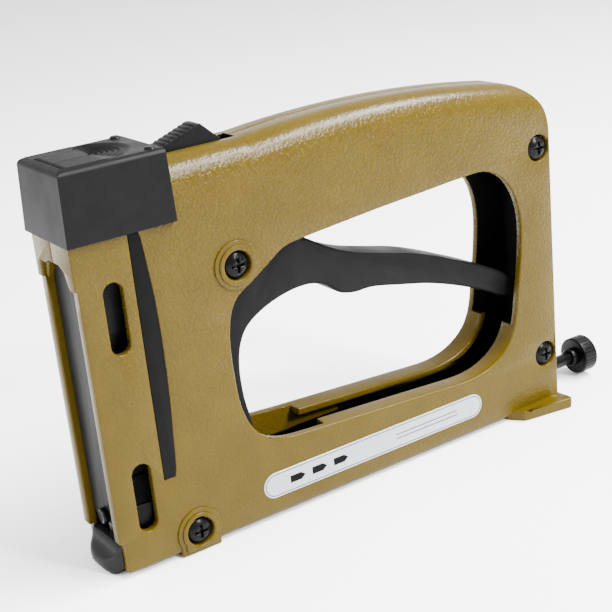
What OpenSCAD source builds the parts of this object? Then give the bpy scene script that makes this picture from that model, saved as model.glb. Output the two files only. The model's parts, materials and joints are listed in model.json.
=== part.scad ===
/* [Body] */
// Half the width of the cast body
half_w = 13.7; // [12:0.1:16]
// Wall thickness of the cast halves
wall = 3; // [2.4:0.1:3.6]
// Distance from the cap's front plane to the rear wall
body_len = 190.6; // [186:0.2:196]
// Underside of the body above the rest plane
base_z = 2.1; // [1.6:0.1:3]
// Flat top of the tower above the rest plane
top_z = 129.9; // [129:0.1:131]
// Radius of the rounded upper edges of the handle
top_round = 9.5; // [6:0.5:10.5]
// Radius of the long arch along the top of the handle
arch_r = 409; // [380:1:440]
// Radius of the rear top corner in side view
corner_r = 20; // [18:0.5:22]
// Clearance at the parting plane
parting = 0.1; // [0.04:0.02:0.2]

/* [Cap] */
// Lower edge of the cap above the rest plane
cap_z = 111.5; // [108:0.5:114]
// Height of the cap
cap_h = 22; // [20:0.5:24]
// Length of the cap
cap_len = 36.2; // [34:0.2:38]
// Half width of the cap at its lower edge
cap_half = 15.6; // [15.2:0.1:16.4]
// Pitch of the ribs on the thumb pad
rib_pitch = 1.7; // [1.5:0.1:2]

/* [Power slide] */
// Half width of the ramp slider
slide_half = 3.65; // [3:0.05:4]
// Height of the slider's peak above the rest plane
slide_peak = 136.2; // [134:0.2:137]
// Ridges across the ramp
ridges = 8; // [5:1:9]

/* [Trigger] */
// Half width of the trigger
trig_half = 7.5; // [6.5:0.1:8]
// Distance from the front plane to the trigger pivot
pivot_x = 55.5; // [55:0.1:56]
// Height of the trigger pivot
pivot_z = 92; // [91.5:0.1:92.5]
// Radius of the bush that the trigger turns on
bush_r = 5; // [4.4:0.1:5.2]

/* [Lift lever] */
// Distance from the front plane to the lever's pivot
lever_x = 126; // [125:0.5:128]
// Height of the lever's pivot
lever_z = 113; // [112.5:0.1:113.5]
// Radius of the lever pin
lever_pin_r = 2; // [1.6:0.1:2.4]
// Radius of the lift roller
roller_r = 3; // [2.6:0.1:3.2]

/* [Driver] */
// Height of the plunger's underside at rest
plunger_z = 32; // [31.8:0.1:34]
// Height of the plunger
plunger_h = 64; // [63:0.2:65]
// Half width of the plunger
plunger_half = 8.5; // [7:0.1:9.6]
// Wire thickness of the power spring
power_wire = 1.8; // [1.4:0.1:2]
// Mean radius of the power spring
power_r = 5.2; // [4.6:0.1:5.6]

/* [Magazine] */
// Height of the pusher rod above the rest plane
rod_z = 8.2; // [8:0.1:8.8]
// Radius of the pusher rod
rod_r = 2.5; // [2:0.1:2.8]
// Radius of the pull knob
knob_r = 7.3; // [6.5:0.1:7.8]
// Thickness of the pull knob
knob_t = 6.6; // [4:0.2:7.4]
// Thickness of one flat point
nail_t = 0.33; // [0.3:0.01:0.5]
// Number of flat points in the strip
nails = 38; // [10:1:38]

/* [Fasteners] */
// Radius of the screw heads
head_r = 4.6; // [4.2:0.1:4.8]
// Radius of the screw shanks
shank_r = 2.45; // [2:0.05:2.5]

/* [Hidden] */
$fn = 64;
nose_front = -2;
nose_r = 13.4;
knob_back = 219;
mid_x = (nose_front + knob_back) / 2;
in_w = half_w - wall;
arch_x = 108.4;
arch_z = top_z + 2.2 - arch_r;
corner_x = body_len - corner_r;
corner_z = top_z - 22.8;
groove_half = 9.7;
boss_r = 8.1;
boss_step = 0.65;
head_depth = 1.2;
rear_depth = 2.3;
screw_a = [pivot_x, pivot_z];
screw_b = [30, 7.4];
screw_c = [185, 102];
screw_d = [184.8, 21.7];
roller = [81, 99.8];
roller_pin_r = 1.5;
label_ends = [[60.3, 12.3], [147.2, 12.3]];
label_r = 4.6;
label_depth = 0.5;
stripe_depth = 0.6;
window_r = 3.25;
post_r = 6.2;
nut_r = 4.6;
gold = [0.62, 0.53, 0.27];
black = [0.1, 0.1, 0.11];
steel = [0.62, 0.63, 0.65];
dark_steel = [0.3, 0.3, 0.32];

// Control points of the hand opening in side view
opening = [[82, 94.4], [96, 95.5], [112, 96.8], [131, 97.9], [147, 98.9], [159, 98.9], [167.5, 94.6],
  [173, 86.4], [175.2, 76.5], [174.6, 64], [172.6, 51], [170.4, 38.6], [166.4, 30.8], [158.8, 25.4],
  [148, 22.9], [131, 23.6], [112, 24.8], [93, 26], [76, 27.1], [66, 28.2], [59, 31], [54.4, 36],
  [51.2, 45], [50.1, 57], [50.2, 69], [52.4, 78], [56.6, 83], [62.2, 86], [68, 89.7], [74, 93.2]];
// Control points of the trigger in side view
lever_outline = [[86, 92], [96, 86], [106, 81.6], [117, 78.4], [130, 75], [141, 71], [151, 66.7],
  [161.5, 62], [171, 57], [175.8, 52.4], [175.4, 47.4], [169, 48.4], [160, 53], [148, 58], [136, 62],
  [124, 64.8], [112, 67.4], [104, 67.6], [98, 69.2], [92.5, 73.4], [86, 75.5], [78, 75.2], [69, 72.8],
  [61.4, 68.6], [57.6, 63], [56, 55], [56.4, 44], [58.2, 33.4], [55.4, 32.6], [52.4, 39], [50.9, 50],
  [50.7, 62], [50.2, 74], [48.6, 84], [48, 92], [52, 98], [62, 98], [76, 97.6]];
// Control points of the nose in side view
nose_outline = [[4.5, 10.6], [2.9, 10.5], [2.3, 9], [1.7, 7.6], [0.3, 6.4], [-1.4, 5.3], [nose_front, 3.8],
  [-1.6, 2.1], [-0.6, 0.8], [0.9, 0.04], [3, 0.04], [5, 0.04]];
// Control points of the tapered stripe on the tower
stripe = [[20.1, 111.2], [23.6, 111.2], [25, 100], [25.9, 90], [26.3, 80], [26.4, 70], [26.2, 58],
  [25.5, 44], [24.3, 29.2], [20.3, 29.2]];

// One span of a smooth closed curve through the points a, b, c and d
function span(a, b, c, d, t) = 0.5 * (2 * b + (c - a) * t + (2 * a - 5 * b + 4 * c - d) * t * t
  + (3 * b - a - 3 * c + d) * t * t * t);
function curve(p, n) = let (m = len(p)) [for (i = [0:m - 1], j = [0:n - 1])
  span(p[(i + m - 1) % m], p[i], p[(i + 1) % m], p[(i + 2) % m], j / n)];
// The curved long side of the stripe between its square ends
function stripe_side() = [for (p = curve(stripe, 4)) if (p[1] < 110 && p[1] > 29.2 && p[0] > 22) p];
// The same curve pushed outwards by d
function grown(p, d) = let (m = len(p)) [for (i = [0:m - 1])
  let (t = p[(i + 1) % m] - p[(i + m - 1) % m], u = t / norm(t)) p[i] + d * [-u[1], u[0]]];

module at_frame() translate([-mid_x, 0, 0]) children();
// Extrudes a side view shape from y0 to y1
module slab(y0, y1) rotate([90, 0, 0]) translate([0, 0, -y1]) linear_extrude(y1 - y0) children();
// Cylinder along Y from y0 to y1 at side view position p
module across(p, r, y0, y1) slab(y0, y1) translate(p) circle(r);
// Box given by two corners
module block(a, b) translate(a) cube(b - a);
module obround(a, b, r) {
  translate(a) circle(r);
  translate(b) circle(r);
  polygon(a[0] == b[0] ? [[a[0] - r, a[1]], [a[0] + r, a[1]], [b[0] + r, b[1]], [b[0] - r, b[1]]]
    : [[a[0], a[1] - r], [b[0], b[1] - r], [b[0], b[1] + r], [a[0], a[1] + r]]);
}
// Side view of the body, shrunk by d
module side_view(d = 0) {
  translate([1 + d, base_z + d]) square([75, top_z - base_z - 2 * d]);
  intersection() {
    translate([arch_x, arch_z]) circle(arch_r - d, $fn = 360);
    translate([66, base_z + d]) square([107.8, 140]);
  }
  translate([corner_x, corner_z]) circle(corner_r - d);
  translate([66, base_z + d]) square([body_len - 66 - d, corner_z - base_z - d]);
}
// Material outside the rounded upper edge of one half, shrunk by d
module edge_cut(d = 0) {
  r = top_round;
  e = 0.03;
  difference() {
    block([-2, -half_w - 1, top_z - r], [67.15, r - half_w, top_z + 3]);
    translate([-3, r - half_w - e, top_z - r + 0.16]) rotate([0, 90, 0]) cylinder(r = r - d, h = 72);
  }
  translate([arch_x, 0, arch_z]) rotate([90, 0, 0]) rotate([0, 0, 76.5])
    rotate_extrude(angle = 19.42, $fn = 360) difference() {
      translate([arch_r - r, half_w - r]) square([r + 4, r + 1]);
      translate([arch_r - r + e, half_w - r + e]) circle(r - d, $fn = 48);
    }
}
// Hollow of the tower, handle, pillar and base rail in side view
module hollow() {
  translate([5.85, 25.6]) square([46.5 - 5.85, 101.3]);
  translate([5.85, 100]) square([61, 26.9]);
  translate([5.85, 2.6]) square([31.15, 24]);
  difference() {
    intersection() {
      translate([40, 66]) square([140, 60.9]);
      translate([arch_x, arch_z]) circle(arch_r - wall, $fn = 360);
    }
    translate([172, 100]) square(40);
  }
  intersection() {
    translate([80, 100]) square([92, 32]);
    translate([arch_x, arch_z]) circle(arch_r - wall, $fn = 360);
  }
  translate([corner_x, corner_z]) circle(corner_r - wall);
  translate([150, 21]) square([body_len - wall - 150, corner_z - 21]);
  translate([24, 3.4]) square([body_len - wall - 24, 17.6]);
  // loading slot along the lower edge of the opening
  translate([84, 20]) square([70, 10]);
  translate([50, 3.4]) square([34, 64]);
}
// Left cast half; the right one is its mirror image with other recesses
module half_body(right = false) {
  win = curve(opening, 4);
  g = parting / 2;
  difference() {
    union() {
      difference() {
        union() {
          slab(-half_w, -g) side_view();
          // stepped lower front boss with its square pad, and the pivot boss
          for (s = [0, 1]) {
            slab(-half_w - boss_step * (s + 1), -g) intersection() {
              union() {
                translate(screw_b) circle(boss_r - 1.5 * s);
                translate([screw_b[0] - 7.3 + 1.5 * s, 0]) square([14.6 - 3 * s, screw_b[1]]);
              }
              translate([0, 1.5 * s]) square(60);
            }
            across(screw_a, boss_r - 1.5 * s, -half_w - boss_step * (s + 1), -half_w + 1);
          }
          // flared foot
          difference() {
            linear_extrude(4) polygon([[165, -g], [165, -12], [169, -17.8], [171, -18.5],
              [189.6, -21.6], [body_len + 0.4, -20.6], [body_len + 0.4, -g]]);
            translate([160, -half_w, 3.5]) rotate([-6.5, 0, 0]) translate([0, -20, 0]) cube([40, 20, 6]);
            block([160, -half_w, 3.5], [200, 1, 6]);
          }
        }
        edge_cut();
        difference() {
          slab(-in_w, 1) hollow();
          edge_cut(wall);
          // lips along the lower edge of the opening
          slab(-half_w, -5.5) intersection() {
            polygon(grown(win, 3.1));
            translate([84, 10]) square([110, 27.6]);
          }
          // wall between tower and opening
          block([46.5, -half_w, 22], [50, 1, 66]);
        }
      }
      // posts that carry the screws and pins
      across(screw_a, 7.2, -in_w - 0.1, -8);
      intersection() {
        for (p = [screw_c, screw_d]) across(p, post_r, -in_w - 0.1, -g);
        slab(-half_w, 0) side_view();
      }
      across([lever_x, lever_z], 4.6, -in_w - 0.1, -5.6);
      // plunger guide ribs
      block([20.9, -in_w - 0.1, 34], [22.9, -4.6, 82]);
    }
    slab(-half_w - 2, 1) polygon(win);
    // set-back front faces
    block([-2, -half_w - 1, 0], [1.9, 1, 97.5]);
    block([-2, -half_w - 1, -1], [3.7, 1, right ? 10.7 : 12.7]);
    block([-2, -half_w - 1, cap_z - 0.05], [2.6, 1, top_z + 5]);
    // front groove and plate seat
    translate([-2, 0, 0]) rotate([90, 0, 90]) linear_extrude(6.6)
      polygon([[1, 0], [1, 104], [-4, 104], [-7, 102.6], [-groove_half, 97], [-groove_half, 0]]);
    block([4.55, -12.2, -1], [5.95, 1, 106]);
    if (right) block([-2, -groove_half, 97], [2.4, -5.5, 102.8]);
    // outlet for the blade and the points
    block([5.4, -3.6, -1], [8.6, 1, 3.5]);
    // side windows
    slab(-half_w - 1, -in_w + 1) obround([12.9, 94.3], [12.9, 77.7], window_r);
    slab(-half_w - 1, -in_w + 1) obround([12.9, 34.2], [12.9, 17.2], window_r);
    // shallow recesses for the inlay and the label
    slab(-half_w - 1, -half_w + stripe_depth)
      polygon(concat([stripe[0], stripe[1]], stripe_side(), [stripe[8], stripe[9]]));
    slab(-half_w - 1, -half_w + label_depth) obround(label_ends[0], label_ends[1], label_r + 0.1);
    // slot for the power slide
    block([36.6, -3.9, 120], [66, 1, 135]);
    // screw holes and head recesses
    for (p = [screw_a, screw_b, screw_c, screw_d]) across(p, shank_r + 0.15, -half_w - 2, 1);
    across(screw_b, head_r + 0.25, -half_w - 2, -half_w + head_depth);
    if (right) {
      for (p = [screw_a, screw_c, screw_d])
        slab(-half_w - 2, -half_w + 3.2) translate(p) circle(nut_r + 0.15, $fn = 6);
    } else {
      across(screw_a, head_r + 0.25, -half_w - 2, -half_w + head_depth);
      for (p = [screw_c, screw_d]) across(p, head_r + 0.25, -half_w - 1, -half_w + rear_depth);
    }
    across([lever_x, lever_z], lever_pin_r + 0.05, -in_w - 0.1, 1);
    // rear hole for the rod guide
    translate([body_len - 8, 0, rod_z]) rotate([0, 90, 0]) cylinder(r = 4.55, h = 14);
  }
}
module left_housing() color(gold) at_frame() half_body();
module right_housing() color(gold) at_frame() mirror([0, 1, 0]) half_body(true);

// Flat arch open to the front, with its round end to the rear
module arch(r, x0) {
  translate([18, 0]) circle(r);
  translate([x0, -r]) square([18 - x0, 2 * r]);
}
module top_cap() color(black) at_frame() {
  cap_top = cap_z + cap_h;
  difference() {
    intersection() {
      slab(-20, 20) polygon([[0, cap_z], [0.8, cap_top], [cap_len - 0.3, cap_top], [cap_len, cap_z]]);
      translate([-1, 0, 0]) rotate([90, 0, 90]) linear_extrude(cap_len + 2)
        polygon([[-cap_half, cap_z], [cap_half, cap_z], [cap_half - 0.7, cap_top],
          [0.7 - cap_half, cap_top]]);
    }
    // room for the tower
    block([2.4, -half_w - 0.1, cap_z - 1], [cap_len + 1, half_w + 0.1, top_z + 0.2]);
    // dished thumb pad
    translate([0, 0, cap_top - 0.8]) linear_extrude(2) {
      translate([3, -12]) square([17, 24]);
      intersection() { translate([18, 0]) circle(12.6); translate([18, -12]) square([14, 24]); }
    }
  }
  // nested ribs of the thumb pad
  intersection() {
    translate([0, 0, cap_top - 0.85]) for (k = [1:6]) difference() {
      linear_extrude(0.6) arch(k * rib_pitch, 4);
      translate([0, 0, -1]) linear_extrude(3) arch(k * rib_pitch - 0.8, 3);
    }
    block([3.6, -11.6, cap_top - 2], [32, 11.6, cap_top + 1]);
  }
  for (s = [-1, 1]) intersection() {
    translate([32.6, s * 11.9, cap_top - 0.6]) sphere(r = 1.9);
    block([28, -16, cap_top - 1.5], [36, 16, cap_top + 3]);
  }
}
module power_slide() color(black) at_frame() {
  low = [37, 130.8];
  high = [52.8, slide_peak];
  difference() {
    slab(-slide_half, slide_half)
      polygon([[37, 124.7], low, high, [54.4, slide_peak], [61, 130.2], [61, 124.7]]);
    for (k = [1:ridges]) let (t = k / (ridges + 0.8), c = low + (high - low) * t)
      across(c + [0, 0.35], 0.55, -slide_half - 1, slide_half + 1);
  }
  translate([38, 0, 0]) rotate([90, 0, 90]) linear_extrude(22)
    polygon([[-7, 124.5], [7, 124.5], [7, 125.6], [5.2, 126.7], [-5.2, 126.7], [-7, 125.6]]);
}
module trigger() color(black) at_frame() difference() {
  union() {
    slab(-trig_half, trig_half) polygon(curve(lever_outline, 4));
    slab(-trig_half, trig_half) {
      translate(screw_a) circle(8.3);
      translate(roller) circle(4.2);
      polygon([[54, 100.1], [79.8, 103.8], [86, 95], [84, 86], [58, 84]]);
    }
  }
  across(screw_a, bush_r + 0.05, -20, 20);
  across(roller, roller_pin_r + 0.05, -20, 20);
  // fork around the lift roller
  block([75, -3.5, 94.5], [90, 3.5, 110]);
}
module trigger_bush() color(steel) at_frame() difference() {
  across(screw_a, bush_r, -7.95, 7.95);
  across(screw_a, shank_r + 0.1, -20, 20);
}
module lift_roller() color(steel) at_frame() difference() {
  across(roller, roller_r, -2.9, 2.9);
  across(roller, roller_pin_r + 0.05, -5, 5);
}
module lift_roller_pin() color(steel) at_frame() across(roller, roller_pin_r, -7.4, 7.4);
module lift_lever() color(dark_steel) at_frame() difference() {
  union() {
    slab(-3, 3) {
      polygon([[127, 117.6], [103, 112], [90, 112], [60, 110.6], [47, 108.4], [30, 97.6], [22, 91.6],
        [14, 90.5], [14, 85.5], [24, 86.4], [38, 94.4], [48, 101.8], [60, 103], [68, 103.3], [96, 103.3],
        [127, 108.4]]);
      translate([lever_x, lever_z]) circle(5);
      translate([14, 88]) circle(2.5);
    }
    across([lever_x, lever_z], 5, -5.4, 5.4);
  }
  across([lever_x, lever_z], lever_pin_r + 0.06, -20, 20);
  slab(-5, 5) obround([70, 107], [112, 107.6], 1.6);
}
module lift_lever_pin() color(steel) at_frame() across([lever_x, lever_z], lever_pin_r, -in_w, in_w);

// Round-wire coil along +Z from z0 to z1 with closed end turns
module coil(r, w, z0, z1, turns, n = 22, m = 8) {
  h = z1 - z0 - w;
  ends = 1.1;
  total = turns * n;
  function rise(t) = t < ends ? t * w * 0.98 : t > turns - ends ? h - (turns - t) * w * 0.98
    : ends * w * 0.98 + (t - ends) / (turns - 2 * ends) * (h - 2 * ends * w * 0.98);
  pts = [for (i = [0:total], j = [0:m - 1]) let (a = 360 * i / n, b = 360 * j / m, q = r + w / 2 * cos(b))
    [q * cos(a), q * sin(a), z0 + w / 2 + rise(i / n) + w / 2 * sin(b)]];
  polyhedron(pts, concat([[for (j = [0:m - 1]) j]],
    [for (i = [0:total - 1], j = [0:m - 1]) let (a = i * m + j, b = i * m + (j + 1) % m)
      each [[a, a + m, b + m], [a, b + m, b]]],
    [[for (j = [m - 1:-1:0]) total * m + j]]), convexity = 10);
}
module lever_spring() color(steel) at_frame() translate([96.5, 0, 0]) coil(3.2, 0.9, 112.1, 128.5, 7);
module power_spring() color(steel) at_frame() translate([13.8, 0, 0])
  coil(power_r, power_wire, plunger_z + plunger_h + 0.1, 124.3, 6);
module pusher_spring() color(steel) at_frame() translate([0, 0, rod_z]) rotate([0, 90, 0])
  coil(3.4, 0.8, 48.1, 184.6, 28, 12, 6);

module plunger() color(black) at_frame() difference() {
  block([7.05, -plunger_half, plunger_z], [20.6, plunger_half, plunger_z + plunger_h]);
  block([8.2, -3.4, 84.6], [22, 3.4, 90.9]);
  block([17, -3.4, 82], [22, 3.4, 94]);
  // lightening pockets and blade keyway
  for (s = [-1, 1]) translate([0, s * plunger_half, 0]) block([10, -1.4, 40], [18, 1.4, 80]);
  block([6, -3.1, 44], [7.6, 3.1, 62]);
}
module driver_blade() color(steel) at_frame() {
  block([5.98, -3, 0.6], [6.98, 3, 61.8]);
  block([6.9, -3, 44.3], [7.55, 3, 61.8]);
}
module spring_seat() color(dark_steel) at_frame() {
  translate([6.2, 0, 0]) rotate([90, 0, 90]) linear_extrude(16.3)
    polygon([[-8.8, 124.4], [8.8, 124.4], [5.4, 126.7], [-5.4, 126.7]]);
  translate([13.8, 0, 118.5]) cylinder(r = 3.6, h = 6.5);
}
module bumper() color(black) at_frame() difference() {
  block([7.1, -9.4, 22], [20.6, 9.4, plunger_z - 0.1]);
  for (s = [-1, 1]) translate([13.8, s * 6, 20]) cylinder(r = 1.6, h = 14);
}
module front_plate() color(dark_steel) at_frame() difference() {
  block([4.6, -12.1, 15.2], [5.8, 12.1, 105.8]);
  translate([4, 0, 17.6]) rotate([0, 90, 0]) cylinder(r = 1.3, h = 3);
}
module plate_rivet() color(dark_steel) at_frame() translate([0, 0, 17.6]) rotate([0, 90, 0]) {
  intersection() {
    translate([0, 0, 5.2]) sphere(r = 2.9);
    translate([0, 0, 2]) cylinder(r = 2.7, h = 2.6);
  }
  translate([0, 0, 4.5]) cylinder(r = 1.25, h = 1.25);
}
module nose_piece() color(black) at_frame() {
  intersection() {
    slab(-10.7, 10.7) polygon(curve(nose_outline, 4));
    linear_extrude(20) intersection() {
      translate([nose_front + nose_r, 0]) circle(nose_r, $fn = 96);
      translate([nose_front, -10.7]) square([3.65 - nose_front, 21.4]);
    }
    translate([-5, 0, 0]) rotate([90, 0, 90]) linear_extrude(12)
      polygon([[-10.7, 10.6], [10.7, 10.6], [10.7, 3.4], [7.4, 0.9], [3.6, 0], [-3.6, 0], [-7.4, 0.9],
        [-10.7, 3.4]]);
  }
  // tongue that closes the front of the blade channel
  block([3, -groove_half + 0.1, 3.5], [5.85, groove_half - 0.1, 10.4]);
  block([3, -3.4, 0.3], [5.85, 3.4, 4]);
}
module nose_guide() color(steel) at_frame() difference() {
  block([7.1, -9.9, 2.7], [36.8, 9.9, 21.9]);
  block([5, -3.4, 4.3], [40, 3.4, 30]);
  for (s = [-1, 1]) across(screw_b, 2.1, s > 0 ? 5.6 : -12, s > 0 ? 12 : -5.6);
}
module magazine_channel() color(steel) at_frame() difference() {
  block([37.1, -5, 3.45], [178, 5, 21]);
  block([36, -4.2, 4.25], [180, 4.2, 22]);
}
module nail_strip() color(steel) at_frame() for (k = [0:nails - 1])
  translate([7.15 + k * nail_t, 0, 0]) rotate([90, 0, 90]) linear_extrude(nail_t - 0.02)
    polygon([[-3, 19.4], [3, 19.4], [3, 8], [0, 4.5], [-3, 8]]);
module pusher() color(black) at_frame() difference() {
  union() {
    block([20.4, -3.2, 4.6], [39, 3.2, 19.4]);
    block([38, -4.05, 4.6], [48, 4.05, 19.4]);
  }
  translate([42, 0, rod_z]) rotate([0, 90, 0]) cylinder(r = rod_r + 0.02, h = 10);
}
module pusher_rod() color(dark_steel) at_frame() translate([42.2, 0, rod_z]) rotate([0, 90, 0])
  cylinder(r = rod_r, h = 170.6);
module pull_knob() color(black) at_frame() translate([0, 0, rod_z]) rotate([0, 90, 0]) difference() {
  union() {
    translate([0, 0, knob_back - knob_t]) difference() {
      cylinder(r = knob_r, h = knob_t);
      // knurl
      for (k = [0:35]) rotate([0, 0, k * 10]) translate([knob_r + 0.25, 0, 0.8])
        cylinder(r = 0.45, h = knob_t - 1.6);
    }
    translate([0, 0, 209.6]) cylinder(r = 3.5, h = 4);
  }
  translate([0, 0, 200]) cylinder(r = rod_r + 0.02, h = 12.9);
}
module rod_guide() color(dark_steel) at_frame() translate([0, 0, rod_z]) rotate([0, 90, 0]) difference() {
  union() {
    translate([0, 0, 186.5]) cylinder(r = 4.5, h = 4.5);
    translate([0, 0, 184.8]) cylinder(r = 4.7, h = 2.4);
  }
  translate([0, 0, 180]) cylinder(r = rod_r + 0.06, h = 20);
}
// Pan head screw along +Y with a cross recess; its head starts at y0
module screw(p, y0, len) translate([p[0], y0, p[1]]) rotate([-90, 0, 0]) {
  difference() {
    intersection() {
      translate([0, 0, -2.7]) cylinder(r = head_r, h = 2.7);
      translate([0, 0, 3.6]) sphere(r = 6.6, $fn = 96);
    }
    for (a = [0, 90]) rotate([0, 0, a]) translate([-2.4, -0.45, -5]) cube([4.8, 0.9, 3.7]);
  }
  translate([0, 0, -0.02]) cylinder(r = shank_r, h = len);
}
module case_screws() color(black) at_frame() {
  screw(screw_a, head_depth - half_w, 26.5);
  screw(screw_c, rear_depth - half_w, 24.5);
  screw(screw_d, rear_depth - half_w, 24.5);
  // the lower front screws are short and bite into the nose guide
  for (s = [0, 1]) mirror([0, s, 0]) {
    difference() {
      screw(screw_b, head_depth - half_w, 7);
      across(screw_b, 5, -10.55, 0);
    }
    across(screw_b, 2.05, -10.6, -5.8);
  }
}
module case_nuts() color(dark_steel) at_frame() for (p = [screw_a, screw_c, screw_d]) difference() {
  slab(half_w - 3.1, half_w - 0.1) translate(p) circle(nut_r, $fn = 6);
  across(p, shank_r + 0.02, 0, 20);
}
module side_labels() color([0.78, 0.79, 0.82]) at_frame() for (s = [0, 1]) mirror([0, s, 0])
  slab(-half_w - 0.05, -half_w + label_depth - 0.02) obround(label_ends[0], label_ends[1], label_r);
module stripe_inlays() color(black) at_frame() for (s = [0, 1]) mirror([0, s, 0])
  slab(-half_w - 0.1, -half_w + stripe_depth - 0.02)
    polygon(concat([stripe[0] + [0.05, -0.05], stripe[1] - [0.05, 0.05]],
      [for (p = stripe_side()) p - [0.05, 0]], [stripe[8] + [-0.05, 0.05], stripe[9] + [0.05, 0.05]]));

left_housing();
right_housing();
top_cap();
power_slide();
trigger();
trigger_bush();
lift_roller();
lift_roller_pin();
lift_lever();
lift_lever_pin();
lever_spring();
plunger();
driver_blade();
power_spring();
spring_seat();
bumper();
front_plate();
plate_rivet();
nose_piece();
nose_guide();
magazine_channel();
nail_strip();
pusher();
pusher_rod();
pusher_spring();
pull_knob();
rod_guide();
case_screws();
case_nuts();
side_labels();
stripe_inlays();
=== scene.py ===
import json
import math

import bmesh
import bpy
import numpy as np
from mathutils import Matrix, Vector
from mathutils.bvhtree import BVHTree


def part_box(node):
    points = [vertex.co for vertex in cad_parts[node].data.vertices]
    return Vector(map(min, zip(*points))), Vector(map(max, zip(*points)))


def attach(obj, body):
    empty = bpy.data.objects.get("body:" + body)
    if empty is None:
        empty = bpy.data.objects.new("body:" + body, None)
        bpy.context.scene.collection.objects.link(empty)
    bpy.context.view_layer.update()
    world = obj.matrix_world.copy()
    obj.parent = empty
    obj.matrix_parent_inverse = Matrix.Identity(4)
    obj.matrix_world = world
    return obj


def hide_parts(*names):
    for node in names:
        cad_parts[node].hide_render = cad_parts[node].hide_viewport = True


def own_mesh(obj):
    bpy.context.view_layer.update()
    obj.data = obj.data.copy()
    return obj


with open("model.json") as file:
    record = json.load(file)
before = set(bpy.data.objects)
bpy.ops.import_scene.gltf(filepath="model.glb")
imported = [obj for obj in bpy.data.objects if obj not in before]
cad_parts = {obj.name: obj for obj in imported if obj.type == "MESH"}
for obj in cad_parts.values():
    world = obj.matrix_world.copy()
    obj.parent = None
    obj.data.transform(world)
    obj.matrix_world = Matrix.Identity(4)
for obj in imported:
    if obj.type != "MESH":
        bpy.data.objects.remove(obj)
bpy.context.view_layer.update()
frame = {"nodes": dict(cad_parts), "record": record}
record = frame["record"]
cad = frame["nodes"]
MM = 0.001
SLOT_OF = {s["node"]: s["material_slot"] for s in record["subparts"]}
BODY_OF = {n: b for b, ns in record["behaviour"]["bodies"].items() for n in ns}


# ------------------------------------------------------------ material tools
class Graph:
    """A small writer for shader node trees."""

    def __init__(self, name):
        self.mat = bpy.data.materials.new(name)
        self.mat.use_nodes = True
        self.tree = self.mat.node_tree
        self.bsdf = self.tree.nodes["Principled BSDF"]
        self.place = self.add("ShaderNodeTexCoord").outputs["Object"]

    def add(self, kind, **values):
        node = self.tree.nodes.new(kind)
        for key, value in values.items():
            setattr(node, key, value)
        return node

    def link(self, a, b):
        self.tree.links.new(a, b)

    def mapped(self, scale):
        node = self.add("ShaderNodeMapping")
        node.inputs["Scale"].default_value = scale
        self.link(self.place, node.inputs["Vector"])
        return node.outputs["Vector"]

    def noise(self, scale, detail, rough, at=None):
        node = self.add("ShaderNodeTexNoise")
        node.inputs["Scale"].default_value = scale
        node.inputs["Detail"].default_value = detail
        node.inputs["Roughness"].default_value = rough
        self.link(at or self.place, node.inputs["Vector"])
        return node.outputs["Fac"]

    def cells(self, scale, smoothness, at):
        node = self.add("ShaderNodeTexVoronoi", feature="SMOOTH_F1")
        node.inputs["Scale"].default_value = scale
        node.inputs["Smoothness"].default_value = smoothness
        self.link(at, node.inputs["Vector"])
        return node.outputs["Distance"]

    def math(self, op, a, b):
        node = self.add("ShaderNodeMath", operation=op)
        for i, v in enumerate((a, b)):
            if isinstance(v, (int, float)):
                node.inputs[i].default_value = v
            else:
                self.link(v, node.inputs[i])
        return node.outputs["Value"]

    def ramp(self, fac, stops):
        node = self.add("ShaderNodeValToRGB")
        r = node.color_ramp
        while len(r.elements) < len(stops):
            r.elements.new(0.5)
        for e, (pos, col) in zip(r.elements, stops):
            e.position = pos
            e.color = (*col, 1)
        self.link(fac, node.inputs["Fac"])
        return node.outputs["Color"]

    def spread(self, fac, lo, hi, out_lo, out_hi):
        node = self.add("ShaderNodeMapRange")
        for key, v in (("From Min", lo), ("From Max", hi), ("To Min", out_lo), ("To Max", out_hi)):
            node.inputs[key].default_value = v
        self.link(fac, node.inputs["Value"])
        return node.outputs["Result"]

    def bump(self, height, distance, strength):
        node = self.add("ShaderNodeBump")
        node.inputs["Strength"].default_value = strength
        node.inputs["Distance"].default_value = distance
        self.link(height, node.inputs["Height"])
        return node.outputs["Normal"]

    def set(self, **values):
        names = {
            "color": "Base Color", "rough": "Roughness", "metal": "Metallic", "normal": "Normal",
            "coat": "Coat Weight", "coat_rough": "Coat Roughness", "specular": "Specular IOR Level",
        }
        for key, v in values.items():
            socket = self.bsdf.inputs[names[key]]
            if isinstance(v, bpy.types.NodeSocket):
                self.link(v, socket)
            else:
                socket.default_value = v
        return self.mat


GOLD_LOW, GOLD_HIGH = (0.042, 0.0268, 0.0009), (0.050, 0.0322, 0.0014)
# drawn lines on metal: their scale per metre and their depth in metres
LINE_SCALE, LINE_DEPTH = 1400.0, 0.00003


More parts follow.
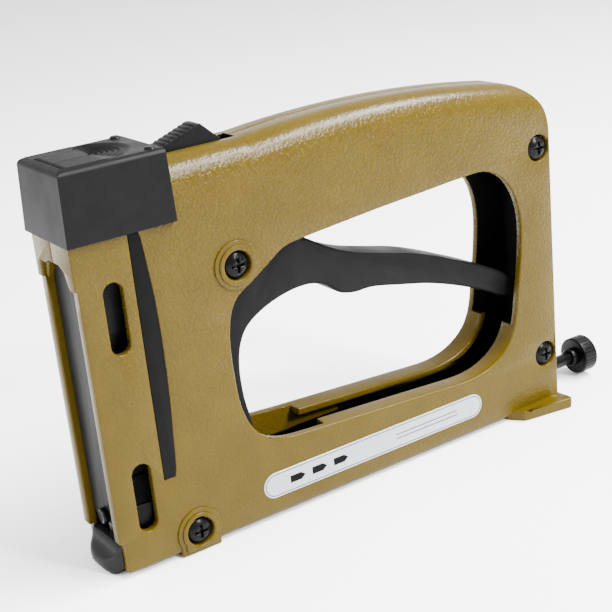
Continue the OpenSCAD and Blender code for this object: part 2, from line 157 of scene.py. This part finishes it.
def hammertone():
    """Glossy gold-khaki cast paint: worm-like raised flecks a little under a millimetre in pitch, with
    painted glints on their tops.
    """
    g = Graph("hammertone_gold")
    warp = g.add("ShaderNodeVectorMath", operation="MULTIPLY_ADD")
    cloud = g.add("ShaderNodeTexNoise")
    cloud.inputs["Scale"].default_value = 700
    g.link(g.place, cloud.inputs["Vector"])
    g.link(cloud.outputs["Color"], warp.inputs[0])
    warp.inputs[1].default_value = (0.0016, 0.0016, 0.0016)
    g.link(g.place, warp.inputs[2])
    worm = g.cells(980, 0.5, at=warp.outputs["Vector"])
    fine = g.noise(2600, 2.0, 0.55)
    height = g.math("ADD", g.math("MULTIPLY", worm, -1.0), g.math("MULTIPLY", fine, 0.08))
    tone = g.ramp(g.noise(90, 3, 0.6), [(0.3, GOLD_LOW), (0.72, GOLD_HIGH)])
    # painted highlight: raised fleck tops are tinted a pale bluish white as glints, and the hollows between
    # them a little darker as painted shade
    painted_glint = g.ramp(worm, [(0.05, (1.5, 1.55, 2.4)), (0.22, (1.04, 1.04, 1.1)),
                          (0.6, (0.92, 0.92, 0.9))])
    # the painted glints on the flecks and the relief fade towards the foot, and the relief also on the front
    # rails and wherever the paint faces upwards
    split = g.add("ShaderNodeSeparateXYZ")
    g.link(g.place, split.inputs["Vector"])
    mix = g.add("ShaderNodeMix", data_type="RGBA", blend_type="MULTIPLY")
    g.link(g.spread(split.outputs["Z"], 0.03, 0.1, 0.25, 1.0), mix.inputs["Factor"])
    g.link(tone, mix.inputs["A"])
    g.link(painted_glint, mix.inputs["B"])
    front = g.spread(split.outputs["X"], -0.1045, -0.0995, 0.25, 1.0)
    low = g.spread(split.outputs["Z"], 0.02, 0.11, 0.6, 1.0)
    facing = g.add("ShaderNodeSeparateXYZ")
    g.link(g.add("ShaderNodeTexCoord").outputs["Normal"], facing.inputs["Vector"])
    top = g.spread(facing.outputs["Z"], 0.1, 0.75, 1.0, 0.22)
    height = g.math("MULTIPLY", g.math("MULTIPLY", height, front), g.math("MULTIPLY", low, top))
    rough = g.spread(g.noise(420, 3, 0.6), 0.3, 0.7, 0.2, 0.28)
    return g.set(color=mix.outputs["Result"], rough=rough, normal=g.bump(height, 0.0004, 0.65),
                 specular=0.085, coat=0.04, coat_rough=0.24)


def plastic(name, low, high, rough=(0.38, 0.52), grain=2600.0, depth=0.00006, specular=0.05):
    """Moulded black plastic with a fine spark-eroded grain."""
    g = Graph(name)
    tone = g.ramp(g.noise(140, 3, 0.6), [(0.3, low), (0.75, high)])
    fine = g.noise(grain, 2, 0.55)
    wear = g.spread(g.noise(60, 4, 0.6), 0.35, 0.7, rough[0], rough[1])
    return g.set(color=tone, rough=wear, normal=g.bump(fine, depth, 0.6), specular=specular)


def metal(name, low, high, rough=(0.22, 0.36), along=(1, 1, 1), metallic=1.0, specular=0.5):
    """Metal with a drawn or brushed line along one axis."""
    g = Graph(name)
    line = g.noise(LINE_SCALE, 3, 0.6, at=g.mapped(along))
    tone = g.ramp(g.noise(70, 4, 0.6), [(0.3, low), (0.75, high)])
    r = g.spread(line, 0.3, 0.7, rough[0], rough[1])
    return g.set(color=tone, rough=r, metal=metallic, normal=g.bump(line, LINE_DEPTH, 0.5),
                 specular=specular)


def rubber():
    """Matt black rubber with a coarse skin."""
    g = Graph("moulded_rubber")
    tone = g.ramp(g.noise(180, 3, 0.6), [(0.3, grey(0.0006)), (0.75, grey(0.0014))])
    return g.set(color=tone, rough=g.spread(g.noise(300, 3, 0.6), 0.3, 0.7, 0.62, 0.8), specular=0.02,
                 normal=g.bump(g.noise(1800, 2, 0.6), 0.0001, 0.6))


def grey(value, tint=1.03):
    """A near-neutral colour, a touch cool."""
    return (value, value, value * tint)


MATERIALS = {
    "body_paint": hammertone(),
    "black_plastic": plastic("cap_plastic", grey(0.0026), grey(0.0038), (0.34, 0.46)),
    "trigger_black": plastic("trigger_coat", grey(0.0018), grey(0.0030), (0.42, 0.56), 3200),
    "plunger_black": plastic("blackened_steel", grey(0.0015), grey(0.003), (0.30, 0.44)),
    "nose_black": plastic("nose_coat", grey(0.0028), grey(0.005), (0.26, 0.40), 1900, 0.0001, 0.1),
    "bright_steel": metal("ground_steel", grey(0.16), grey(0.2), along=(1, 1, 0.05)),
    "lever_steel": metal("stamped_steel", grey(0.09), grey(0.13), (0.3, 0.5)),
    "spring_steel": metal("spring_wire", grey(0.12), grey(0.16), (0.18, 0.34)),
    "plate_steel": metal("blued_sheet", grey(0.0035, 1.06), grey(0.0055, 1.06), (0.4, 0.52),
                         along=(1, 1, 0.04), metallic=0.0, specular=0.09),
    "guide_steel": metal("plated_steel", grey(0.0045), grey(0.007), (0.3, 0.42), along=(0.06, 1, 1)),
    "nail_steel": metal("point_steel", grey(0.18), grey(0.22), (0.18, 0.3), along=(1, 1, 0.08)),
    "rubber_black": rubber(),
    "screw_black": plastic("black_oxide", grey(0.0009), grey(0.0018), (0.2, 0.32), 1500, 0.00004,
                           0.07),
    "label_silver": metal("label_foil", (0.26, 0.27, 0.30), (0.31, 0.32, 0.35), (0.24, 0.34),
                          metallic=0.25),
    "inlay_black": plastic("inlay_plastic", grey(0.0009), grey(0.0016), (0.34, 0.46), specular=0.04),
    # painted shade: near-black faces inside each half's hollow stand in for the shade in there
    "hollow_shade": plastic("painted_hollow_shade", grey(0.0012), grey(0.0028), (0.55, 0.7), 900, 0.0003, 0.03),
}
for name, node in cad.items():
    node.data.materials.clear()
    node.data.materials.append(MATERIALS[SLOT_OF[name]])


# --------------------------------------------------------------- mesh tools
def piece(name, mesh, material, body, *replaced):
    """Links a mesh as a piece, rides it on its body and hides the CAD parts it replaces."""
    obj = bpy.data.objects.new(name, mesh)
    bpy.context.scene.collection.objects.link(obj)
    mesh.materials.clear()
    mesh.materials.append(MATERIALS[material])
    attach(obj, body)
    if replaced:
        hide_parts(*replaced)
    return obj


def has_room(surface, edge, face, reach):
    """Is this face still flat a distance in from the edge?"""
    middle = (edge.verts[0].co + edge.verts[1].co) / 2
    loop = next(l for l in edge.link_loops if l.face == face)
    inward = face.normal.cross((loop.link_loop_next.vert.co - loop.vert.co).normalized())
    point, normal, _, off = surface.find_nearest(middle + inward * reach)
    return point is not None and off < 0.07 * reach and normal.dot(face.normal) > 0.8


# in rounded: how flat a face is (degrees), which edges are worth rounding, which stay creases
FLAT, ROUNDED, CREASE = math.radians(0.6), math.radians(32), math.radians(25)


def rounded(node, width, cuts=(), share=lambda a, b: 1.0, room=1.9, inside=None):
    """A copy of a CAD node with its open convex edges rounded. The cuts are (axis, values in mm) pairs:
    planes that split its flat faces into simple ones. share gives an edge's part of the width, room how
    many widths of flat face it needs beside it, and inside picks the faces that take the near-black
    painted shade of the hollow."""
    mesh = cad[node].data.copy()
    bm = bmesh.new()
    bm.from_mesh(mesh)
    surface = BVHTree.FromBMesh(bm)
    bmesh.ops.remove_doubles(bm, verts=bm.verts, dist=1e-6)
    bmesh.ops.dissolve_limit(bm, angle_limit=FLAT, verts=bm.verts, edges=bm.edges, delimit={"NORMAL"})
    for axis, values in cuts:
        for value in values:
            at, normal = Vector((0, 0, 0)), Vector((0, 0, 0))
            at[axis], normal[axis] = value * MM, 1
            parts = list(bm.verts) + list(bm.edges) + list(bm.faces)
            made = bmesh.ops.bisect_plane(bm, geom=parts, dist=1e-7, plane_co=at, plane_no=normal)
            for g in made["geom_cut"]:
                if isinstance(g, bmesh.types.BMEdge):
                    g.seam = True
    bmesh.ops.dissolve_limit(bm, angle_limit=FLAT, verts=bm.verts, edges=bm.edges,
                             delimit={"NORMAL", "SEAM"})
    weight = bm.edges.layers.float.new("bevel_weight_edge")
    for e in bm.edges:
        if len(e.link_faces) != 2 or not e.is_convex or e.calc_face_angle(0) < ROUNDED:
            continue
        for part in (1.0, 0.5):
            size = part * share(e.verts[0].co, e.verts[1].co)
            if size > 0 and all(has_room(surface, e, f, room * size * width * MM) for f in e.link_faces):
                e[weight] = size
                break
    for f in bm.faces:
        f.smooth = True
    for e in bm.edges:
        e.seam = False
        e.smooth = e[weight] > 0 or e.calc_face_angle(0) < CREASE
    hollow = [int(inside is not None and inside(f)) for f in bm.faces]
    bm.to_mesh(mesh)
    bm.free()
    obj = piece(node + "_finished", mesh, SLOT_OF[node], BODY_OF[node], node)
    # painted shade: the hollow's faces take the near-black material
    if inside is not None:
        mesh.materials.append(MATERIALS["hollow_shade"])
        mesh.polygons.foreach_set("material_index", hollow)
    bevel = obj.modifiers.new("edges", "BEVEL")
    bevel.width = width * MM
    bevel.segments = 3
    bevel.limit_method = "WEIGHT"
    bevel.use_clamp_overlap = False
    bevel.harden_normals = True


def housing_share(a, b):
    """No rounding on the hairline step between the tower's roundings and on the seat of the front plate;
    full rounding on the lips of the hand opening; half of it elsewhere."""
    step = all(-0.044 < v.x < -0.040 and v.z > 0.118 for v in (a, b))
    seat = all(-0.1042 < v.x < -0.1018 and v.z < 0.107 for v in (a, b))
    lip = all(v.x > -0.024 and v.z < 0.039 and abs(abs(v.y) - 0.0055) < 0.0002 for v in (a, b))
    return 0 if step or seat else 1.0 if lip else 0.5


def in_shaded_hollow(face):
    """Faces within the hollow of a half, which take the near-black painted shade. The front groove, the
    parting plane, the lips' inner sides, the outer skin and the painted pocket under the front of the hand
    opening stay gold."""
    depth = [abs(v.co.y) for v in face.verts]
    middle, normal = face.calc_center_median(), face.normal
    lip = abs(max(depth) - 0.0055) < 0.0001 and max(depth) - min(depth) < 0.0001
    skin = (normal.z > 0.3 and middle.z > 0.1) or (normal.z < -0.3 and middle.z < 0.01) or (
        normal.x > 0.3 and middle.x > 0.08)
    pocket = -0.0605 < middle.x < -0.0235 and middle.z < 0.05
    groove = min(v.co.x for v in face.verts) < -0.1027
    return 0.0002 < max(depth) < 0.01085 and not (lip or skin or pocket or groove)


def bump_rows(x, width):
    """One smooth bump of unit height, width wide, centred on zero."""
    return np.where(np.abs(x) < width / 2, np.cos(np.pi * x / width) ** 2, 0.0)


def smooth(t):
    """Eases from 0 to 1 as t does."""
    t = np.clip(t, 0, 1)
    return t * t * (3 - 2 * t)


def edge_lines(low, high, round_low, round_high, pitch):
    """Grid lines that crowd together over the rounded ends."""
    ends = 1 - np.cos(np.linspace(0, np.pi / 2, 9))
    middle = np.arange(low + round_low, high - round_high, pitch)[1:]
    return np.concatenate([low + round_low * ends, middle, (high - round_high * ends)[::-1]])


def closed_mesh(name, verts, faces):
    """A mesh whose faces all look outwards."""
    mesh = bpy.data.meshes.new(name)
    mesh.from_pydata(verts, [], faces)
    bm = bmesh.new()
    bm.from_mesh(mesh)
    bmesh.ops.recalc_face_normals(bm, faces=bm.faces)
    bm.to_mesh(mesh)
    bm.free()
    return mesh


def cap_shell():
    """The thumb cap: tapered walls, rounded top edges, dished pad with nested ribs and two domes."""
    low, high = (np.array(v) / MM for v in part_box("top_cap"))
    front, rear, top = low[0] + 0.8, high[0] - 0.3, high[2] - 0.7
    half, foot_half = high[1] - 0.7, high[1]
    edge, edge_rear = 2.0, 1.0
    xs = edge_lines(front, rear, edge, edge_rear, 0.17)
    ys = edge_lines(-half, half, edge, edge, 0.17)
    x, y = np.meshgrid(xs, ys, indexing="ij")
    drop = np.zeros_like(x)
    for gap, r in ((x - front, edge), (rear - x, edge_rear), (y + half, edge), (half - y, edge)):
        near = np.clip(gap, 0, r)
        drop = np.maximum(drop, r - np.sqrt(np.maximum(r * r - (r - near) ** 2, 0)))
    # pad outline: straight sides and a round rear end
    centre, pad_half = front + 17.2, 11.9
    radial = np.where(x > centre, np.hypot(x - centre, y), np.abs(y))
    inside = np.minimum(pad_half - radial, x - front - 2.6)
    fall = np.where(x > centre, 2.6, 0.9)
    z = -drop - 0.95 * smooth(inside / fall + 0.5)
    for k in range(1, 7):
        rib = bump_rows(radial - k * 1.7 + 0.4, 1.15) * smooth((x - front - 3.4) / 2.4)
        z = z + 0.62 * rib * smooth((inside - 0.2) / 0.6)
    # rim that follows the pad, and the domes at the rear corners
    z = z + 0.28 * bump_rows(inside + 0.55, 1.3) * (x < centre + 6)
    for side in (-1, 1):
        r = np.hypot(x - rear + 3.6, y - side * 11.6)
        z = np.maximum(z, np.where(r < 1.95, np.sqrt(np.maximum(1.95 ** 2 - r * r, 0)) - 0.75, -9))
    z = np.minimum(z + top, high[2])
    # the pad's grid, then walls that lean out to the lower edge
    count_x, count_y = x.shape
    verts = [tuple(v) for v in np.stack([x, y, z], -1).reshape(-1, 3) * MM]
    faces = []
    for i in range(count_x - 1):
        for j in range(count_y - 1):
            a = i * count_y + j
            faces.append((a, a + count_y, a + count_y + 1, a + 1))
    loop = [i * count_y for i in range(count_x)]
    loop += [(count_x - 1) * count_y + j for j in range(1, count_y)]
    loop += [i * count_y + count_y - 1 for i in range(count_x - 2, -1, -1)]
    loop += list(range(count_y - 2, 0, -1))
    base = len(verts)
    for index in loop:
        vx, vy, _ = (c / MM for c in verts[index])
        lean_x = -0.8 if vx < front + 0.01 else 0.3 if vx > rear - 0.01 else 0
        lean_y = 0.7 * math.copysign(1, vy) if abs(vy) > half - 0.01 else 0
        verts.append(((vx + lean_x) * MM, (vy + lean_y) * MM, low[2] * MM))
    n = len(loop)
    for k in range(n):
        faces.append((loop[(k + 1) % n], loop[k], base + k, base + (k + 1) % n))
    faces.append(tuple(range(base, base + n))[::-1])
    body = bpy.data.objects.new("cap_block", closed_mesh("cap_shell", verts, faces))
    room = bpy.data.objects.new("cap_room", box_mesh(
        (front + 1.6, -foot_half + 1.9, low[2] - 2), (rear + 4, foot_half - 1.9, top - 3.4)))
    for o in (body, room):
        bpy.context.scene.collection.objects.link(o)
    cut = body.modifiers.new("room", "BOOLEAN")
    cut.operation, cut.object = "DIFFERENCE", room
    bpy.context.view_layer.update()
    made = bpy.data.meshes.new_from_object(body.evaluated_get(bpy.context.evaluated_depsgraph_get()))
    for o in (body, room):
        bpy.data.objects.remove(o)
    shade(made, 38)
    return made


def box_mesh(low, high):
    """A box between two corners in mm."""
    mesh = bpy.data.meshes.new("box")
    bm = bmesh.new()
    bmesh.ops.create_cube(bm, size=1)
    for v in bm.verts:
        v.co = Vector([(low[i] + (v.co[i] + 0.5) * (high[i] - low[i])) * MM for i in range(3)])
    bm.to_mesh(mesh)
    bm.free()
    return mesh


def shade(mesh, degrees):
    """Smooth shading that breaks at edges sharper than this angle."""
    mesh.shade_smooth()
    mesh.set_sharp_from_angle(angle=math.radians(degrees))


def coil_mesh(centre, radius, wire, low, high, turns, axis):
    """A round-wire compression coil along Z or X with closed end turns."""
    around, sides, ends = 40, 10, 1.1
    closed = wire * 0.98  # rise of one closed end turn
    rise = high - low - wire
    rings = []
    for i in range(int(turns * around) + 1):
        t = i / around
        if t < ends:
            lift = t * closed
        elif t > turns - ends:
            lift = rise - (turns - t) * closed
        else:
            lift = ends * closed + (t - ends) / (turns - 2 * ends) * (rise - 2 * ends * closed)
        a = 2 * math.pi * t
        ring = []
        for j in range(sides):
            b = 2 * math.pi * j / sides
            q = radius + wire / 2 * math.cos(b)
            u, v, w = q * math.cos(a), q * math.sin(a), low + wire / 2 + lift + wire / 2 * math.sin(b)
            p = (u, v, w) if axis == "z" else (w, v, -u)
            ring.append(tuple((p[k] + centre[k]) * MM for k in range(3)))
        rings.append(ring)
    verts = [p for ring in rings for p in ring]
    faces = [tuple(range(sides))[::-1], tuple(range(len(verts) - sides, len(verts)))]
    for i in range(len(rings) - 1):
        for j in range(sides):
            a, b = i * sides + j, i * sides + (j + 1) % sides
            faces.append((a, b, b + sides, a + sides))
    mesh = bpy.data.meshes.new("coil")
    mesh.from_pydata(verts, [], faces)
    shade(mesh, 50)
    return mesh


HOUSING_CUTS = ((0, (-95.6, -86, -78.5, -53, -4.5, 17.5, 40, 76.5)),
                (2, (12.3, 21.7, 30, 45, 60, 75, 90, 102)))
for half in ("left_housing", "right_housing"):
    rounded(half, 1.2, HOUSING_CUTS, housing_share, inside=in_shaded_hollow)
piece("top_cap_finished", cap_shell(), "black_plastic", "housing", "top_cap")
for node, width, room in (
    ("trigger", 1.2, 1.5), ("power_slide", 0.35, 1.5), ("front_plate", 0.2, 1.5),
    ("case_screws", 0.3, 1.2), ("pull_knob", 0.6, 1.25), ("plunger", 0.5, 1.5), ("lift_lever", 0.3, 1.5),
    ("stripe_inlays", 0.15, 1.5), ("side_labels", 0.15, 1.5), ("case_nuts", 0.25, 1.2), ("bumper", 0.5, 1.3),
    ("nose_guide", 0.3, 1.3), ("pusher", 0.3, 1.3), ("pusher_rod", 0.3, 1.3), ("spring_seat", 0.2, 1.3),
):
    rounded(node, width, room=room)


def springs():
    """The three coils, rebuilt as round-wire meshes in place of the CAD springs."""
    for name, wire, turns, axis, joint, keep in (
        ("power_spring", 1.8, 6, "z", "plunger_slide", 0.386),
        ("lever_spring", 0.9, 7, "z", "lever_pivot", 0.66),
        ("pusher_spring", 0.8, 28, "x", "pusher_pull", 0.34),
    ):
        low, high = (Vector(v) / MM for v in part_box(name))
        middle = (low + high) / 2
        along = 2 if axis == "z" else 0
        middle[along] = 0
        radius = (high.y - low.y - wire) / 2
        mesh = coil_mesh(middle, radius, wire, low[along], high[along], turns, axis)
        obj = piece(name + "_coil", mesh, "spring_steel", "housing", name)
        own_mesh(obj)


springs()


def lathe(profile, centre):
    """A round piece about an X axis through centre, from (radius, distance) pairs in mm, with flat ends."""
    steps, rows = 48, len(profile)
    turn = [2 * math.pi * k / steps for k in range(steps)]
    verts = [tuple((centre + Vector((x, r * math.cos(a), r * math.sin(a)))) * MM)
             for r, x in profile for a in turn]
    faces = []
    for i in range(rows - 1):
        for k in range(steps):
            a, b = i * steps + k, i * steps + (k + 1) % steps
            faces.append((a, b, b + steps, a + steps))
    faces += [tuple(range(steps))[::-1], tuple(range((rows - 1) * steps, rows * steps))]
    mesh = closed_mesh("lathe", verts, faces)
    shade(mesh, 40)
    return mesh


def rivet():
    """The flat round head that holds the front plate, a little dished, with a rounded rim."""
    low, high = (Vector(v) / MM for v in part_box("plate_rivet"))
    at = Vector((low.x, 0, (low.z + high.z) / 2))
    r, deep = (high.z - low.z) / 2, high.x - low.x
    profile = [(0.05, 0.75), (0.5 * r, 0.7), (0.68 * r, 0.45), (0.8 * r, 0.3), (0.9 * r, 0.4),
               (0.97 * r, 0.7), (r, 1.1), (r, 2.2), (0.5 * r, 2.3), (0.46 * r, deep)]
    piece("plate_rivet_head", lathe(profile, at), "screw_black", BODY_OF["plate_rivet"], "plate_rivet")


rivet()


def nose():
    """The hooked nose: its side profile swept across the tool and rounded by a drum in plan, with a soft
    ridge where they meet and drawn-in lower corners. Its middle runs back as a tongue between the rails."""
    low, high = (Vector(v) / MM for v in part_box("nose_piece"))
    tip, soft, tongue_half, rail_front = 2.0, 0.7, 9.6, 3.6
    profile = [(4.6, 10.35), (3.8, 10.3), (3.2, 9.9), (2.6, 9.2), (2.1, 8.2), (1.6, 7.3), (0.7, 6.5),
               (-0.4, 5.9), (-1.3, 5.2), (-1.8, 4.4), (-1.95, 3.6), (-1.85, 2.8), (-1.5, 2.0),
               (-0.9, 1.2), (-0.2, 0.65), (0.8, 0.3), (2.0, 0.2), (3.2, 0.2)]
    half, back, drum = (high.y - low.y) / 2 - 0.1, 5.6, 13.2
    start = low.x + tip
    columns = [math.sin(math.pi / 2 * k / 24) for k in range(-24, 25)]
    verts, faces = [], []
    for t in columns:
        for x, z in profile + [(back, 0.2), (back, 10.35)]:
            wide = half - 3.0 * smooth(1 - z / 3.6) ** 1.5 * (x < back or z < 5)
            y = wide * t
            rear = back if abs(y) < tongue_half else rail_front
            if x < back:
                cut = drum - tip - math.sqrt(drum * drum - y * y)
                x = max(x, cut) + soft * math.exp(-((x - cut) / soft) ** 2) * 0.35
            verts.append(((start + min(x, rear)) * MM, y * MM, (low.z + z) * MM))
    n = len(profile) + 2
    for c in range(len(columns) - 1):
        for k in range(n):
            a, b = c * n + k, c * n + (k + 1) % n
            faces.append((a, b, b + n, a + n))
    faces += [tuple(range(n))[::-1], tuple(range((len(columns) - 1) * n, len(columns) * n))]
    mesh = closed_mesh("nose", verts, faces)
    shade(mesh, 50)
    piece("nose_piece_finished", mesh, "nose_black", BODY_OF["nose_piece"], "nose_piece")


nose()


def prism(outline, y0, y1):
    """A flat shape in side view, (x, z) points in mm, between two depths."""
    mesh = bpy.data.meshes.new("prism")
    n = len(outline)
    verts = [(x * MM, y * MM, z * MM) for y in (y0, y1) for x, z in outline]
    faces = [tuple(range(n)), tuple(range(n, 2 * n))[::-1]]
    faces += [(i, i + n, (i + 1) % n + n, (i + 1) % n) for i in range(n)]
    mesh.from_pydata(verts, [], faces)
    return mesh


def joined(name, meshes, material, body):
    """One piece from several small meshes."""
    bm = bmesh.new()
    for m in meshes:
        bm.from_mesh(m)
    bmesh.ops.recalc_face_normals(bm, faces=bm.faces)
    mesh = bpy.data.meshes.new(name)
    bm.to_mesh(mesh)
    bm.free()
    return piece(name, mesh, material, body)


def label_print():
    """A border line and a row of generic flat-point pictograms on both labels; no lettering."""
    low, high = (Vector(v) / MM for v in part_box("side_labels"))
    face, r = high.y, (high.z - low.z) / 2
    z, left, right = (low.z + high.z) / 2, low.x + r, high.x - r

    def rim(radius):
        turn = [math.radians(a) for a in range(-90, 91, 10)]
        back = [math.radians(a) for a in range(90, 271, 10)]
        return ([(right + radius * math.cos(a), z + radius * math.sin(a)) for a in turn]
                + [(left + radius * math.cos(a), z + radius * math.sin(a)) for a in back])

    for side, name in ((-1, "left_label_print"), (1, "right_label_print")):
        y0, y1 = side * (face - 0.02), side * (face + 0.03)
        outer, inner = rim(r - 0.65), rim(r - 0.9)
        n = len(outer)
        parts = [prism([outer[i], outer[(i + 1) % n], inner[(i + 1) % n], inner[i]], y0, y1)
                 for i in range(n)]
        for k in range(3):
            x = left + 6 + k * 9
            parts.append(prism([(x, z - 1.3), (x + 4.4, z - 1.3), (x + 6.2, z), (x + 4.4, z + 1.3),
                                (x, z + 1.3)], y0, y1))
        for k in range(2):
            x, x_end, foot = (left + right) / 2 + 8, (left + right) / 2 + 36, z - 0.9 + k * 1.6
            parts.append(prism([(x, foot), (x_end, foot), (x_end, foot + 0.3), (x, foot + 0.3)], y0, y1))
        joined(name, parts, "inlay_black", "housing")


label_print()


# ------------------------------------------------------------ floor and light
def stage():
    """A pale floor, an even white sky and three soft lamps."""
    mesh = bpy.data.meshes.new("floor")
    s = 6.0
    mesh.from_pydata([(-s, -s, 0), (s, -s, 0), (s, s, 0), (-s, s, 0)], [], [(0, 1, 2, 3)])
    floor = bpy.data.objects.new("floor", mesh)
    bpy.context.scene.collection.objects.link(floor)
    g = Graph("floor_paper")
    tone = g.ramp(g.noise(6, 2, 0.5), [(0.3, (0.88, 0.88, 0.88)), (0.7, (0.91, 0.91, 0.91))])
    mesh.materials.append(g.set(color=tone, rough=0.7, specular=0.2))

    world = bpy.data.worlds.new("studio")
    world.use_nodes = True
    world.node_tree.nodes["Background"].inputs["Color"].default_value = (1, 1, 1, 1)
    world.node_tree.nodes["Background"].inputs["Strength"].default_value = 2.0
    bpy.context.scene.world = world

    def lamp(name, at, to, size, watts):
        data = bpy.data.lights.new(name, "AREA")
        data.shape = "RECTANGLE"
        data.size, data.size_y = size
        data.energy = watts
        obj = bpy.data.objects.new(name, data)
        bpy.context.scene.collection.objects.link(obj)
        obj.location = at
        obj.rotation_euler = (Vector(to) - Vector(at)).to_track_quat("-Z", "Y").to_euler()

    lamp("edge_light", (0.55, -0.36, 0.95), (0, 0, 0.08), (0.8, 0.22), 70)
    lamp("glint_light", (0.35, -0.95, 0.75), (0, 0, 0.08), (0.16, 0.16), 30)
    lamp("front_light", (-1.1, 0.1, 0.5), (0, 0, 0.07), (0.5, 0.5), 24)


stage()


def camera():
    """The viewpoint, from its angles: azimuth, elevation and roll in degrees."""
    a, e, roll = math.radians(-32.164), math.radians(19.954), math.radians(-5.921)
    fwd = Vector((-math.sin(a) * math.cos(e), math.cos(a) * math.cos(e), -math.sin(e)))
    right = Vector((math.cos(a), math.sin(a), 0))
    up = right.cross(fwd)
    r = right * math.cos(roll) + up * math.sin(roll)
    u = up * math.cos(roll) - right * math.sin(roll)
    data = bpy.data.cameras.new("camera")
    data.lens = 76.905
    data.sensor_width = 36
    cam = bpy.data.objects.new("camera", data)
    bpy.context.scene.collection.objects.link(cam)
    m = Matrix((r, u, -fwd)).transposed().to_4x4()
    m.translation = Vector((-0.24367, -0.35516, 0.21778))
    cam.matrix_world = m
    bpy.context.scene.camera = cam


camera()
